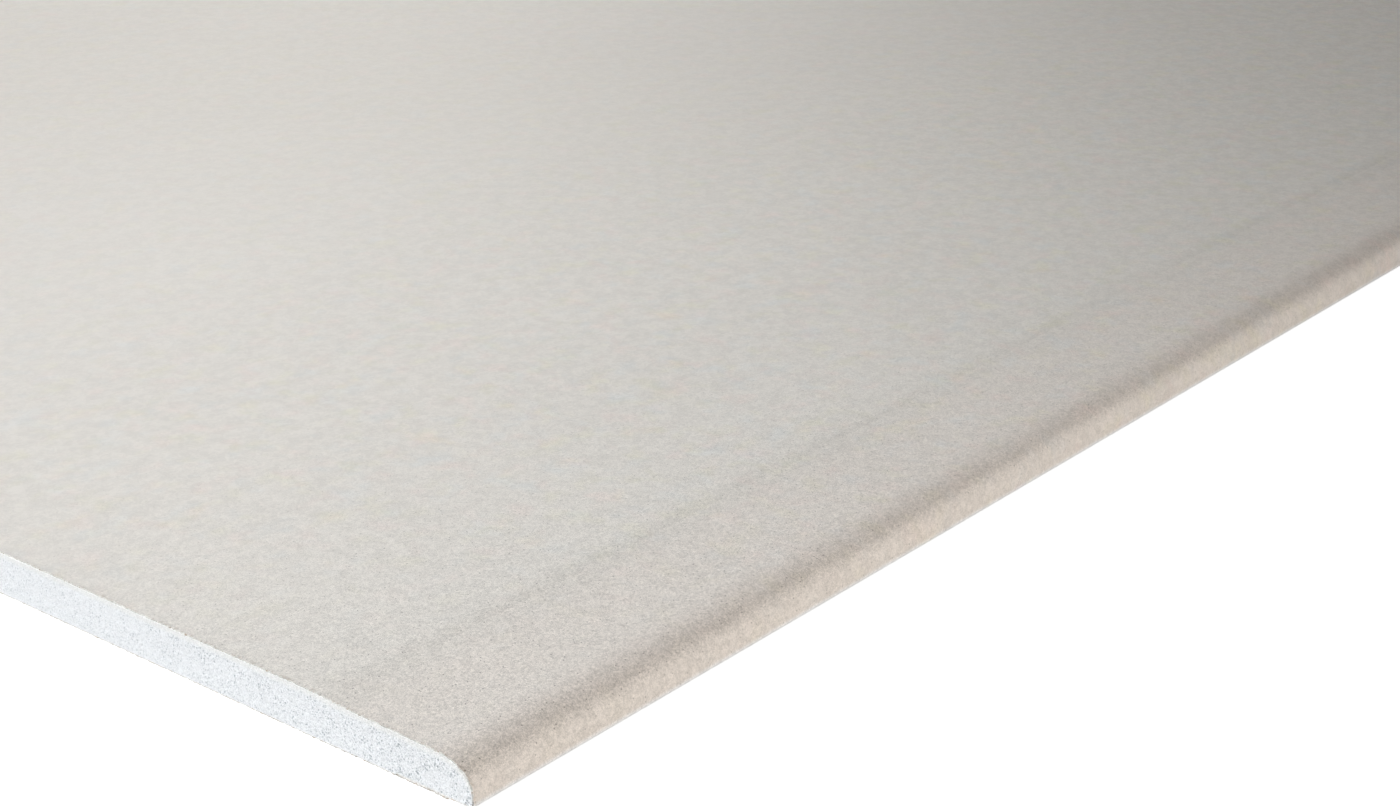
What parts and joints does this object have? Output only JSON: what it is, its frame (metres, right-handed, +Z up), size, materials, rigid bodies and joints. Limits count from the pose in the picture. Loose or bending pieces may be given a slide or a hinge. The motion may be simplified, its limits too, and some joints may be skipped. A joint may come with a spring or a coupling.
{
  "type": "drywall sheet",
  "caption": "Flat gypsum plasterboard sheet faced with paper on both sides, its long edges half-round and tapered towards the face, its ends sawn square with the core bare.",
  "frame": {"origin": "centre of the underside, on the plane that the sheet lies on", "axes": "+X along the sheet's length, +Y across its width, +Z up through its thickness, from the back to the face"},
  "size_m": [2.5, 1.25, 0.0125],
  "materials": {
    "gypsum": "matte",
    "face_paper": "matte",
    "back_paper": "matte"
  },
  "bodies": {
    "root": {"gypsum_core": "gypsum", "face_paper": "face_paper", "back_paper": "back_paper"}
  },
  "joints": []
}
